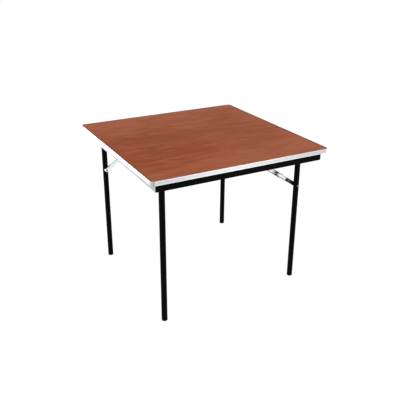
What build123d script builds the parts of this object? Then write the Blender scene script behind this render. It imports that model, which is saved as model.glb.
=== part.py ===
"""Folding card table: a stained plywood top in an aluminium edge, on two leg frames that fold flat under it.

Millimetres, +Z up. The origin is on the floor, under the middle of the table.
The two frames and their braces are the same part turned half round, so each is modelled once, on the right.
"""
import math
import os

from build123d import *

os.makedirs("parts", exist_ok=True)

# Table top
table_width = 914.4
table_height = 736.6
corner_radius = 19.0
panel_thickness = 19.0
panel_edge_ease = 0.5

# Aluminium edge moulding, with a spline that is driven into a saw kerf round the panel
moulding_wall = 1.6
moulding_lip = 9.0
moulding_lip_wall = 1.4
moulding_lip_gap = 0.6
moulding_fit = 0.05
spline_depth = 9.0
spline_thickness = 2.4
kerf_fit = 0.15
moulding_edge_round = 0.6
moulding_joint_gap = 0.8
moulding_joint_in_bend = 8.0

# Black aprons along the front and back, pale end rails between them
apron_inset = 24.1
apron_height = 42.5
apron_wall = 1.6
apron_flange = 25.0
apron_lip = 8.0
apron_bend_radius = 2.0
rail_inset = 25.4
rail_height = 39.5
rail_wall = 2.0
rail_flange = 18.0
rail_bend_radius = 1.2
rail_gap = 0.3

# Leg frames, each set off to its own side so that they fold flat beside each other
leg_diameter = 28.0
leg_wall = 1.5
leg_from_apron = 47.1
frame_shift = 29.0
pivot_drop = 22.0
cross_tube_diameter = 25.0
cross_tube_wall = 1.5
weld_gap = 0.05

# Foot caps, each with a ribbed plug that is pressed into the leg's end
foot_height = 9.0
foot_round = 3.0
plug_length = 22.0
plug_fit = 0.05
plug_groove = 0.7
plug_rib_height = 2.0
plug_rib_pitch = 6.0

# Pivot clamps, each with a nylon liner that the cross tube turns in
clamp_wall = 1.6
clamp_width = 24.0
clamp_flange = 12.0
clamp_bend_radius = 1.2
clamp_from_rail = 4.75
clamp_from_leg = 5.0
clamp_from_brace = 5.0
liner_wall = 1.8
liner_overhang = 1.0
liner_fit = 0.05
running_fit = 0.1

# Folding braces
brace_drop = 178.5
bracket_reach = 260.0
lower_height = 19.0
lower_depth = 10.0
link_wall = 1.8
link_round = 1.0
leg_clearance = 1.0
link_gap = 4.0
upper_depth = 11.0
upper_end_round = 4.0
cup_gap = 0.8
overhang = 24.0
stop_length = 12.0
stop_reach = 11.0
part_gap = 0.3

# Nylon spacer that keeps the lower link off the leg
spacer_length = 60.5
spacer_proud = 0.6
spacer_slot = 3.0
spacer_slot_from_bolt = 10.0
spacer_slot_from_end = 6.0

# Bolts, rivets and pins
bolt_diameter = 8.0
bolt_head_diameter = 10.0
bolt_head_height = 3.2
bolt_tail_height = 2.2
knee_diameter = 7.0
knee_head_diameter = 13.0
knee_head_height = 2.6
knee_washer_diameter = 16.0
pin_diameter = 6.0
pin_head_diameter = 10.0
pin_head_height = 2.0
head_round = 1.4

# Brace brackets
bracket_wall = 2.5
bracket_ear_radius = 11.0
bracket_gap = 0.5
bracket_screw_from_ear = 13.0
bracket_end = 10.0

# Screws
screw_diameter = 4.2
screw_length = 13.0
screw_head_diameter = 8.4
screw_head_height = 2.6
screw_head_chamfer = 1.0
screw_fit = 0.05
apron_screw_shares = (-0.44, -0.264, -0.088, 0.088, 0.264, 0.44)
rail_screw_shares = (-0.38, -0.127, 0.127, 0.38)

overrun = 1.0

# Levels and places that follow from the sizes above
half_width = table_width / 2
underside = table_height - panel_thickness
moulding_height = panel_thickness + moulding_lip_gap + moulding_lip_wall
apron_face = half_width - apron_inset
rail_face = half_width - rail_inset

# Each cross tube turns in its liners, the liners sit in the clamps, and the clamps clear the end rail
leg_radius = leg_diameter / 2
cross_tube_radius = cross_tube_diameter / 2
liner_inner = cross_tube_radius + running_fit
liner_outer = liner_inner + liner_wall
clamp_inner = liner_outer + liner_fit
clamp_outer = clamp_inner + clamp_wall
pivot_x = rail_face - rail_flange - clamp_from_rail - clamp_flange - clamp_outer
pivot_z = underside - pivot_drop
plain_y = apron_face - leg_from_apron
braced_y = 2 * frame_shift - plain_y

brace_length = math.hypot(brace_drop, bracket_reach)
lower_length = (brace_length - bracket_reach + brace_drop) / 2
brace_angle = math.atan2(brace_drop, bracket_reach)
brace_bolt_z = pivot_z - brace_drop
bracket_x = pivot_x - bracket_reach

leg_side = braced_y + leg_radius
lower_rim = leg_side + leg_clearance
lower_back = lower_rim + lower_depth
upper_face = lower_back + link_gap
upper_rim = upper_face + upper_depth
upper_height = lower_height + 2 * (part_gap + link_wall)


def save(piece, name):
    """Label a finished piece and write it."""
    piece.label = name
    export_step(piece, f"parts/{name}.step")


def save_pair(piece, right_name, left_name):
    """Write a piece of the right half, and its twin turned half round for the left half."""
    save(piece, right_name)
    save(piece.rotate(Axis.Z, 180), left_name)


def rounded_square(inset, mode=Mode.ADD):
    """Draw the top's outline, drawn in by an inset, in the open sketch."""
    side = table_width - 2 * inset
    RectangleRounded(side, side, corner_radius - inset, mode=mode)


def front_view(x, y, z):
    """A plane seen from the front, X right and Z up, whose extrusions come towards the front."""
    return Plane(origin=(x, y, z), x_dir=(1, 0, 0), z_dir=(0, -1, 0))


def brace_view(y):
    """A plane at depth y with X from the leg bolt towards the bracket and Y up, extruding towards the back."""
    along = (-math.cos(brace_angle), 0, math.sin(brace_angle))
    return Plane(origin=(pivot_x, y, brace_bolt_z), x_dir=along, z_dir=(0, 1, 0))


def drill(plane, centre, radius, depth):
    """Cut a round hole from a plane, through the open part."""
    with BuildSketch(plane) as hole:
        with Locations(centre):
            Circle(radius)
    extrude(hole.sketch, amount=depth, mode=Mode.SUBTRACT)


# Screw places, each at the lower face of the flange that its head bears on
apron_length = 2 * (rail_face - rail_wall - rail_gap)
rail_length = 2 * apron_face
apron_screw_y = apron_face - apron_flange / 2
rail_screw_x = rail_face - rail_flange / 2
apron_seats = [
    (share * apron_length, side * apron_screw_y, underside - apron_wall)
    for side in (-1, 1)
    for share in apron_screw_shares
]
rail_seats = [
    (side * rail_screw_x, share * rail_length, underside - rail_wall)
    for side in (-1, 1)
    for share in rail_screw_shares
]

liner_half_length = clamp_width / 2 + liner_overhang
clamp_screw_x = clamp_outer + clamp_flange / 2
braced_clamp_y = upper_rim + clamp_from_brace + liner_half_length
plain_clamp_y = plain_y - leg_radius - clamp_from_leg - liner_half_length
right_clamp_seats = [
    (pivot_x + side * clamp_screw_x, y, underside - clamp_wall)
    for y in (braced_clamp_y, plain_clamp_y)
    for side in (-1, 1)
]

near_ear = upper_face - bracket_gap - bracket_wall
far_ear = upper_rim + bracket_gap
bracket_y = (near_ear + far_ear + bracket_wall) / 2
bracket_screw_x = bracket_ear_radius + bracket_screw_from_ear
right_bracket_seats = [
    (bracket_x + side * bracket_screw_x, bracket_y, underside - bracket_wall)
    for side in (-1, 1)
]


def with_twins(seats):
    """Places on the right half, with their twins half round the table."""
    return seats + [(-x, -y, z) for x, y, z in seats]


clamp_seats = with_twins(right_clamp_seats)
bracket_seats = with_twins(right_bracket_seats)
every_seat = apron_seats + rail_seats + clamp_seats + bracket_seats


# Plywood panel, with the kerf for the moulding's spline and a pilot hole for each screw
panel_inset = moulding_wall + moulding_fit
spline_z = table_height - moulding_height / 2
with BuildPart() as plywood_top:
    with BuildSketch(Plane.XY.offset(underside)):
        rounded_square(panel_inset)
    extrude(amount=panel_thickness)
    chamfer(plywood_top.faces().sort_by(Axis.Z)[-1].edges(), panel_edge_ease)
    with BuildSketch(Plane.XY.offset(spline_z)):
        rounded_square(moulding_wall)
        rounded_square(moulding_wall + spline_depth + kerf_fit, Mode.SUBTRACT)
    extrude(amount=spline_thickness / 2 + kerf_fit, both=True, mode=Mode.SUBTRACT)
    with BuildSketch(Plane.XY.offset(underside)):
        with Locations(*[(x, y) for x, y, z in every_seat]):
            Circle(screw_diameter / 2 + screw_fit)
    extrude(amount=screw_length, mode=Mode.SUBTRACT)
save(plywood_top.part, "plywood_top")


# Edge moulding: one length for each side, bent round one corner and butted against the next in its bend
bend_centre = half_width - corner_radius
joint_turn = math.asin(moulding_joint_in_bend / corner_radius)
far_turn = joint_turn - moulding_joint_gap / corner_radius
joint_reach = 2 * corner_radius
clear_of_edge = bend_centre + joint_reach
near_joint_x = bend_centre + joint_reach * math.sin(joint_turn)
near_joint_y = bend_centre + joint_reach * math.cos(joint_turn)
far_joint_x = bend_centre + joint_reach * math.cos(far_turn)
far_joint_y = bend_centre + joint_reach * math.sin(far_turn)
with BuildPart() as edge_moulding_left:
    with BuildSketch(Plane.XY.offset(table_height - moulding_height)):
        rounded_square(0)
        rounded_square(moulding_wall, Mode.SUBTRACT)
    extrude(amount=moulding_height)
    rims = edge_moulding_left.faces().filter_by(Axis.Z)
    fillet([edge for rim in rims for edge in rim.outer_wire().edges()], moulding_edge_round)
    with BuildSketch(Plane.XY.offset(table_height - moulding_height)):
        rounded_square(moulding_wall)
        rounded_square(moulding_wall + moulding_lip, Mode.SUBTRACT)
    extrude(amount=moulding_lip_wall)
    with BuildSketch(Plane.XY.offset(spline_z)):
        rounded_square(moulding_wall)
        rounded_square(moulding_wall + spline_depth, Mode.SUBTRACT)
    extrude(amount=spline_thickness / 2, both=True)
    with BuildSketch(Plane.XY.offset(table_height - moulding_height)):
        with BuildLine():
            Polyline(
                (-bend_centre, -bend_centre),
                (-near_joint_x, -near_joint_y),
                (-clear_of_edge, -clear_of_edge),
                (-clear_of_edge, far_joint_y),
                (-far_joint_x, far_joint_y),
                (-bend_centre, bend_centre),
                close=True,
            )
        make_face()
    extrude(amount=moulding_height, mode=Mode.INTERSECT)
for quarter, side_name in enumerate(("left", "front", "right", "back")):
    save(edge_moulding_left.part.rotate(Axis.Z, 90 * quarter), f"edge_moulding_{side_name}")


# Black steel apron: an upright web with a flange under the top and a short return at its lower edge
with BuildPart() as apron_front:
    with BuildSketch(Plane.YZ.offset(-apron_length / 2)):
        with Locations((-apron_face, underside)):
            Rectangle(apron_wall, apron_height, align=(Align.MIN, Align.MAX))
            Rectangle(apron_flange, apron_wall, align=(Align.MIN, Align.MAX))
        with Locations((-apron_face, underside - apron_height)):
            Rectangle(apron_lip, apron_wall, align=(Align.MIN, Align.MIN))
    extrude(amount=apron_length)
    fillet(
        apron_front.faces().sort_by(Axis.Y)[0].edges().filter_by(Axis.X),
        apron_bend_radius,
    )
    with BuildSketch(Plane.XY.offset(underside)):
        with Locations(*[(x, y) for x, y, z in apron_seats if y < 0]):
            Circle(screw_diameter / 2 + screw_fit)
    extrude(amount=-apron_wall, mode=Mode.SUBTRACT)
save_pair(apron_front.part, "apron_front", "apron_back")


# End rail: an angle whose upright leg closes the ends of the aprons
rail_flange_length = 2 * (apron_face - apron_flange - rail_gap)
with BuildPart() as end_rail_right:
    with BuildSketch(Plane.YZ.offset(rail_face)):
        with Locations((0, underside)):
            Rectangle(rail_length, rail_height, align=(Align.CENTER, Align.MAX))
    extrude(amount=-rail_wall)
    with BuildSketch(Plane.XY.offset(underside)):
        with Locations((rail_face, 0)):
            Rectangle(rail_flange, rail_flange_length, align=(Align.MAX, Align.CENTER))
    extrude(amount=-rail_wall)
    fillet(
        end_rail_right.faces().sort_by(Axis.X)[-1].edges().filter_by(Axis.Y).sort_by(Axis.Z)[0],
        rail_bend_radius,
    )
    with BuildSketch(Plane.XY.offset(underside)):
        with Locations(*[(x, y) for x, y, z in rail_seats if x > 0]):
            Circle(screw_diameter / 2 + screw_fit)
    extrude(amount=-rail_wall, mode=Mode.SUBTRACT)
save_pair(end_rail_right.part, "end_rail_right", "end_rail_left")


def leg_profile(y, outer, inner):
    """Sketch half of a leg tube with a domed top, centred on the fold axis, and turn it round the leg's axis."""
    with BuildSketch(front_view(pivot_x, y, 0)) as profile:
        with BuildLine():
            Line((inner, foot_height), (outer, foot_height))
            Line((outer, foot_height), (outer, pivot_z))
            CenterArc((0, pivot_z), outer, 0, 90)
            if inner > 0:
                Line((0, pivot_z + outer), (0, pivot_z + inner))
                CenterArc((0, pivot_z), inner, 90, -90)
                Line((inner, pivot_z), (inner, foot_height))
            else:
                Line((0, pivot_z + outer), (0, foot_height))
        make_face()
    revolve(profile.sketch, axis=Axis((pivot_x, y, 0), (0, 0, 1)))


# Legs: the front right leg carries the brace, the back right leg is plain
with BuildPart() as leg_braced:
    leg_profile(braced_y, leg_radius, leg_radius - leg_wall)
    drill(
        front_view(pivot_x, braced_y + leg_radius + overrun, brace_bolt_z),
        (0, 0),
        bolt_diameter / 2 + running_fit,
        leg_diameter + 2 * overrun,
    )
save_pair(leg_braced.part, "leg_front_right", "leg_back_left")

with BuildPart() as leg_plain:
    leg_profile(plain_y, leg_radius, leg_radius - leg_wall)
save_pair(leg_plain.part, "leg_back_right", "leg_front_left")


# Cross tube: its ends are coped to the legs that they are welded to, and it turns in the clamps
with BuildPart() as leg_envelopes:
    leg_profile(braced_y, leg_radius + weld_gap, 0)
    leg_profile(plain_y, leg_radius + weld_gap, 0)
with BuildPart() as cross_tube:
    with BuildSketch(front_view(pivot_x, plain_y, pivot_z)):
        Circle(cross_tube_radius)
        Circle(cross_tube_radius - cross_tube_wall, mode=Mode.SUBTRACT)
    extrude(amount=plain_y - braced_y)
    add(leg_envelopes.part, mode=Mode.SUBTRACT)
    tube_body = cross_tube.solids().sort_by(SortBy.VOLUME)[-1]
    add(tube_body, mode=Mode.REPLACE)
save_pair(cross_tube.part, "cross_tube_right", "cross_tube_left")


# Foot caps: a round foot as wide as the leg, with a ribbed plug inside the tube's end
def foot_cap(y):
    """Turn a foot and its plug round a leg's axis."""
    bore = leg_radius - leg_wall - plug_fit
    with BuildSketch(front_view(pivot_x, y, 0)) as section:
        Rectangle(leg_radius, foot_height, align=(Align.MIN, Align.MIN))
        with Locations((0, foot_height)):
            Rectangle(bore - plug_groove, plug_length, align=(Align.MIN, Align.MIN))
        with GridLocations(0, plug_rib_pitch, 1, 3):
            with Locations((0, foot_height + plug_length / 2)):
                Rectangle(bore, plug_rib_height, align=(Align.MIN, Align.CENTER))
    revolve(section.sketch, axis=Axis((pivot_x, y, 0), (0, 0, 1)))


with BuildPart() as foot_braced:
    foot_cap(braced_y)
    fillet(foot_braced.faces().sort_by(Axis.Z)[0].edges(), foot_round)
save_pair(foot_braced.part, "foot_cap_front_right", "foot_cap_back_left")

with BuildPart() as foot_plain:
    foot_cap(plain_y)
    fillet(foot_plain.faces().sort_by(Axis.Z)[0].edges(), foot_round)
save_pair(foot_plain.part, "foot_cap_back_right", "foot_cap_front_left")


# Pivot clamps: straps under the cross tube, screwed to the panel on both sides
def pivot_clamp(y):
    """Bend a strap round the liner, with a flange on each side."""
    with BuildSketch(front_view(pivot_x, y, pivot_z)) as strap:
        Circle(clamp_outer)
        Rectangle(2 * clamp_outer, pivot_drop, align=(Align.CENTER, Align.MIN))
        with Locations((0, pivot_drop)):
            Rectangle(2 * (clamp_outer + clamp_flange), clamp_wall, align=(Align.CENTER, Align.MAX))
        Circle(clamp_inner, mode=Mode.SUBTRACT)
        Rectangle(2 * clamp_inner, pivot_drop, align=(Align.CENTER, Align.MIN), mode=Mode.SUBTRACT)
        bends = strap.vertices().filter_by_position(Axis.X, -clamp_outer, clamp_outer)
        fillet(bends.filter_by_position(Axis.Y, pivot_drop - clamp_wall, pivot_drop), clamp_bend_radius)
    extrude(strap.sketch, amount=clamp_width / 2, both=True)
    with BuildSketch(Plane.XY.offset(underside)) as holes:
        with Locations(*[(seat_x, seat_y) for seat_x, seat_y, z in right_clamp_seats if seat_y == y]):
            Circle(screw_diameter / 2 + screw_fit)
    extrude(holes.sketch, amount=-clamp_wall, mode=Mode.SUBTRACT)


def liner(y):
    """Make the nylon ring between a clamp and the cross tube."""
    with BuildSketch(front_view(pivot_x, y, pivot_z)) as ring:
        Circle(liner_outer)
        Circle(liner_inner, mode=Mode.SUBTRACT)
    extrude(ring.sketch, amount=liner_half_length, both=True)


with BuildPart() as clamp_braced:
    pivot_clamp(braced_clamp_y)
save_pair(clamp_braced.part, "pivot_clamp_front_right", "pivot_clamp_back_left")

with BuildPart() as clamp_plain:
    pivot_clamp(plain_clamp_y)
save_pair(clamp_plain.part, "pivot_clamp_back_right", "pivot_clamp_front_left")

with BuildPart() as liner_braced:
    liner(braced_clamp_y)
save_pair(liner_braced.part, "pivot_liner_front_right", "pivot_liner_back_left")

with BuildPart() as liner_plain:
    liner(plain_clamp_y)
save_pair(liner_plain.part, "pivot_liner_back_right", "pivot_liner_front_left")


# Lower link: a pressed dish with rounded ends, open towards the leg
def lower_outline(height):
    """Draw a slot from the leg bolt to the knee."""
    with Locations((lower_length / 2, 0)):
        SlotCenterToCenter(lower_length, height)


with BuildPart() as brace_lower:
    with BuildSketch(brace_view(lower_rim)):
        lower_outline(lower_height)
    extrude(amount=lower_depth)
    fillet(brace_lower.faces().sort_by(Axis.Y)[-1].edges(), link_round)
    with BuildSketch(brace_view(lower_rim)):
        lower_outline(lower_height - 2 * link_wall)
    extrude(amount=lower_depth - link_wall, mode=Mode.SUBTRACT)
    drill(brace_view(lower_rim), (0, 0), bolt_diameter / 2 + running_fit, lower_depth)
    drill(brace_view(lower_rim), (lower_length, 0), knee_diameter / 2 + running_fit, lower_depth)
save_pair(brace_lower.part, "brace_lower_right", "brace_lower_left")


# Upper link: a pressed channel, open towards the leg, with a cup pressed through to each pivot
upper_start = lower_length - overhang
cup_radius = upper_height / 2 - link_wall - cup_gap


def upper_outline(inset):
    """Draw the upper link, square at its knee end and round at its bracket end, drawn in by an inset."""
    length = brace_length - upper_start - inset
    with Locations((upper_start + inset, 0)):
        Rectangle(length, upper_height - 2 * inset, align=(Align.MIN, Align.CENTER))
    with Locations((brace_length, 0)):
        Circle(upper_height / 2 - inset)


with BuildPart() as brace_upper:
    with BuildSketch(brace_view(upper_face)) as upper_sketch:
        upper_outline(0)
        fillet(upper_sketch.vertices().group_by(Axis.X)[0], upper_end_round)
    extrude(amount=upper_depth)
    fillet(brace_upper.faces().sort_by(Axis.Y)[-1].edges(), link_round)
    with BuildSketch(brace_view(upper_face)) as upper_hollow:
        upper_outline(link_wall)
        fillet(upper_hollow.vertices().group_by(Axis.X)[0], upper_end_round - link_wall)
    extrude(amount=upper_depth - link_wall, mode=Mode.SUBTRACT)
    with BuildSketch(brace_view(upper_face)):
        with Locations((lower_length, 0), (brace_length, 0)):
            Circle(cup_radius)
    extrude(amount=upper_depth - link_wall)
    with BuildSketch(brace_view(upper_face + link_wall)):
        with Locations((lower_length, 0), (brace_length, 0)):
            Circle(cup_radius - link_wall)
    extrude(amount=upper_depth - link_wall, mode=Mode.SUBTRACT)
    with BuildSketch(brace_view(upper_face)):
        with Locations((upper_start + stop_length / 2, upper_height / 2)):
            Rectangle(stop_length - upper_end_round, link_wall, align=(Align.CENTER, Align.MAX))
    extrude(amount=-stop_reach)
    drill(brace_view(upper_face), (lower_length, 0), knee_diameter / 2 + weld_gap, link_wall)
    drill(brace_view(upper_face), (brace_length, 0), pin_diameter / 2 + running_fit, link_wall)
save_pair(brace_upper.part, "brace_upper_right", "brace_upper_left")


# Nylon spacer in the lower link's leg end, with a slot along it
with BuildPart() as brace_spacer:
    spacer_height = lower_height - 2 * link_wall - 2 * weld_gap
    spacer_straight = spacer_length - spacer_height / 2
    spacer_slot_length = spacer_straight - spacer_slot_from_bolt - spacer_slot_from_end
    spacer_start = lower_rim - spacer_proud
    spacer_depth = lower_back - link_wall - weld_gap - spacer_start
    with BuildSketch(brace_view(spacer_start)):
        Circle(spacer_height / 2)
        Rectangle(spacer_straight, spacer_height, align=(Align.MIN, Align.CENTER))
    extrude(amount=spacer_depth)
    with BuildSketch(brace_view(spacer_start)):
        with Locations((spacer_slot_from_bolt + spacer_slot_length / 2, 0)):
            SlotOverall(spacer_slot_length, spacer_slot)
    extrude(amount=spacer_depth, mode=Mode.SUBTRACT)
    drill(brace_view(spacer_start), (0, 0), bolt_diameter / 2 + running_fit, spacer_depth)
save_pair(brace_spacer.part, "brace_spacer_right", "brace_spacer_left")


# Leg bolt: its head is formed to the leg, and its tail is upset over the lower link
bolt_head_face = braced_y - leg_radius - bolt_head_height
bolt_tail_face = lower_back + part_gap
with BuildPart() as leg_bolt:
    with BuildSketch(brace_view(bolt_head_face)):
        Circle(bolt_head_diameter / 2)
    extrude(amount=bolt_head_height + leg_wall)
    fillet(leg_bolt.faces().sort_by(Axis.Y)[0].edges(), head_round)
    add(leg_envelopes.part, mode=Mode.SUBTRACT)
    with BuildSketch(brace_view(bolt_head_face + bolt_head_height / 2)):
        Circle(bolt_diameter / 2)
    extrude(amount=bolt_tail_face - bolt_head_face)
    with BuildSketch(brace_view(bolt_tail_face)):
        Circle(bolt_head_diameter / 2)
    extrude(amount=bolt_tail_height)
    fillet(leg_bolt.faces().sort_by(Axis.Y)[-1].edges(), head_round)
save_pair(leg_bolt.part, "leg_bolt_right", "leg_bolt_left")


# Knee: the rivet and washer stay with the upper link, and the far head with the lower link
knee_end = lower_back + part_gap
with BuildPart() as knee_rivet:
    with BuildSketch(brace_view(knee_end)):
        with Locations((lower_length, 0)):
            Circle(knee_diameter / 2)
    extrude(amount=link_gap - part_gap + link_wall)
    with BuildSketch(brace_view(upper_face + link_wall)):
        with Locations((lower_length, 0)):
            Circle(knee_head_diameter / 2)
    extrude(amount=knee_head_height)
    fillet(knee_rivet.faces().sort_by(Axis.Y)[-1].edges(), head_round)
save_pair(knee_rivet.part, "knee_rivet_right", "knee_rivet_left")

with BuildPart() as knee_washer:
    with BuildSketch(brace_view(knee_end)):
        with Locations((lower_length, 0)):
            Circle(knee_washer_diameter / 2)
            Circle(knee_diameter / 2 + weld_gap, mode=Mode.SUBTRACT)
    extrude(amount=link_gap - part_gap)
save_pair(knee_washer.part, "knee_washer_right", "knee_washer_left")

with BuildPart() as knee_head:
    with BuildSketch(brace_view(lower_back)):
        with Locations((lower_length, 0)):
            Circle(knee_diameter / 2 + running_fit - weld_gap)
    extrude(amount=-link_wall)
    with BuildSketch(brace_view(lower_back - link_wall)):
        with Locations((lower_length, 0)):
            Circle(knee_head_diameter / 2)
    extrude(amount=-knee_head_height)
    fillet(knee_head.faces().sort_by(Axis.Y)[0].edges(), head_round)
save_pair(knee_head.part, "knee_rivet_head_right", "knee_rivet_head_left")


# Bracket: a base screwed to the panel, with two ears that hold the upper link's pin
with BuildPart() as brace_bracket:
    with BuildSketch(Plane.XY.offset(underside)):
        with Locations((bracket_x, bracket_y)):
            Rectangle(2 * (bracket_screw_x + bracket_end), far_ear + bracket_wall - near_ear)
    extrude(amount=-bracket_wall)
    for ear_y in (near_ear, far_ear):
        with BuildSketch(front_view(bracket_x, ear_y + bracket_wall, pivot_z)):
            Circle(bracket_ear_radius)
            Rectangle(2 * bracket_ear_radius, pivot_drop, align=(Align.CENTER, Align.MIN))
        extrude(amount=bracket_wall)
    drill(
        front_view(bracket_x, far_ear + bracket_wall, pivot_z),
        (0, 0),
        pin_diameter / 2 + weld_gap,
        far_ear + bracket_wall - near_ear,
    )
    with BuildSketch(Plane.XY.offset(underside)):
        with Locations(*[(x, y) for x, y, z in right_bracket_seats]):
            Circle(screw_diameter / 2 + screw_fit)
    extrude(amount=-bracket_wall, mode=Mode.SUBTRACT)
save_pair(brace_bracket.part, "brace_bracket_right", "brace_bracket_left")

with BuildPart() as bracket_pin:
    with BuildSketch(front_view(bracket_x, far_ear + bracket_wall, pivot_z)):
        Circle(pin_diameter / 2)
    extrude(amount=far_ear + bracket_wall - near_ear)
    with BuildSketch(front_view(bracket_x, far_ear + bracket_wall, pivot_z)):
        Circle(pin_head_diameter / 2)
    extrude(amount=-pin_head_height)
    with BuildSketch(front_view(bracket_x, near_ear, pivot_z)):
        Circle(pin_head_diameter / 2)
    extrude(amount=pin_head_height)
    fillet(bracket_pin.faces().sort_by(Axis.Y)[0].edges(), head_round)
    fillet(bracket_pin.faces().sort_by(Axis.Y)[-1].edges(), head_round)
save_pair(bracket_pin.part, "bracket_pin_right", "bracket_pin_left")


# Screws, one node for each group of alike ones
def screws(seats):
    """Make a pan-head screw at each seat, point up."""
    with Locations(*seats):
        Cylinder(
            screw_diameter / 2,
            screw_length - screw_head_height,
            align=(Align.CENTER, Align.CENTER, Align.MIN),
        )
        Cylinder(
            screw_head_diameter / 2,
            screw_head_height,
            align=(Align.CENTER, Align.CENTER, Align.MAX),
        )


for group_name, group_seats in (
    ("apron_screws", apron_seats),
    ("end_rail_screws", rail_seats),
    ("clamp_screws", clamp_seats),
    ("bracket_screws", bracket_seats),
):
    with BuildPart() as screw_group:
        screws(group_seats)
        chamfer(screw_group.faces().group_by(Axis.Z)[0].edges(), screw_head_chamfer)
    save(screw_group.part, group_name)

print(f"brace angle {math.degrees(brace_angle):.3f} degrees")
print(f"upper link {brace_length - lower_length:.2f} mm, lower link {lower_length:.2f} mm")
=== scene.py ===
"""Dress the folding card table: finishes, tubes, feet, welds and screws, in plain studio light.

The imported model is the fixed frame. Pieces built here stand for its legs, feet, screws, bolts and rivets,
or lie on its tubes as weld beads. Every other node keeps its shape and takes a finish. Lengths are metres.
"""

import logging
import math
from dataclasses import dataclass
from enum import Enum
from functools import reduce
from typing import Callable, Mapping, Optional, Sequence, Union

import bmesh
import bpy
from mathutils import Matrix, Quaternion, Vector


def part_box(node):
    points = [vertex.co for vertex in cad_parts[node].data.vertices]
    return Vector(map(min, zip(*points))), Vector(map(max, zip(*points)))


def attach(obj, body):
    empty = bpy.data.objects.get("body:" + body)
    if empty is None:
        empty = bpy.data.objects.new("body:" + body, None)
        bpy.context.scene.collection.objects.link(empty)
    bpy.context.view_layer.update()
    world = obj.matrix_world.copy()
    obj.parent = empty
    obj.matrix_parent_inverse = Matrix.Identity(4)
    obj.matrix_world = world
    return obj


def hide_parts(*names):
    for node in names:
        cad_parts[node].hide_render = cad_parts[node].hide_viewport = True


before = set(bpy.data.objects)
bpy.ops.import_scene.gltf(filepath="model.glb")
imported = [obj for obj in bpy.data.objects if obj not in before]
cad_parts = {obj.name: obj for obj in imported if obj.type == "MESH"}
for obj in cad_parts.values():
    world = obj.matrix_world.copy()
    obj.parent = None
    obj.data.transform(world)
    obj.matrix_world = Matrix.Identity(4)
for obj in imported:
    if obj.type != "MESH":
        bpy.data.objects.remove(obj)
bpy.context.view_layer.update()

log = logging.getLogger("card_table")

Colour = tuple[float, float, float, float]
Place = tuple[float, float, float]
Point = tuple[float, float]
Pair = tuple[float, float]
# Where a smooth step starts, where it is full, and what it gives there
Step = tuple[float, float, float]
Number = Union[float, "Link"]
UP = Vector((0, 0, 1))
BACKWARDS = Vector((0, 1, 0))
HALF_TURN = math.pi
FULL_TURN = 2 * math.pi
WELD_DISTANCE = 1e-6
NOISE_MIDDLE = 0.5


class Slot(Enum):
    """The record's material slots."""

    STAINED_PLYWOOD = "stained_plywood"
    EDGE_ALUMINIUM = "edge_aluminium"
    RAIL_ALUMINIUM = "rail_aluminium"
    BLACK_STEEL = "black_steel"
    ZINC_STEEL = "zinc_steel"
    BLACK_NYLON = "black_nylon"
    PALE_NYLON = "pale_nylon"
    BLACK_RUBBER = "black_rubber"


class Half(Enum):
    """The half of the table that a frame and its brace belong to. The left is the right one turned round."""

    RIGHT = "right"
    LEFT = "left"

    @property
    def turn(self) -> float:
        """The turn about the upright axis that brings the right half's pieces here."""
        return 0.0 if self is Half.RIGHT else HALF_TURN

    def corner(self, braced: bool) -> str:
        """The corner of the leg that carries the brace, or of the other leg."""
        end = "front" if braced == (self is Half.RIGHT) else "back"
        return f"{end}_{self.value}"


def paint(red: int, green: int, blue: int) -> Colour:
    """The scene colour of a paint chip.

    Args:
        red: Display value from 0 to 255.
        green: Display value from 0 to 255.
        blue: Display value from 0 to 255.

    Returns:
        The linear colour with full alpha.
    """
    steps = [value / 255 for value in (red, green, blue)]
    linear = [s / 12.92 if s <= 0.04045 else ((s + 0.055) / 1.055) ** 2.4 for s in steps]
    return (*linear, 1.0)


@dataclass(frozen=True)
class Pattern:
    """A soft noise of a finish.

    Attributes:
        stretch: Its cycles per metre along each axis.
        detail: The number of its finer layers.
        shift: A shift to another stretch of the noise.
        step: The step of the noise by which it shows.
    """

    stretch: Place
    detail: float
    shift: float = 0.0
    step: Step = (0.0, 1.0, 1.0)


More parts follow.
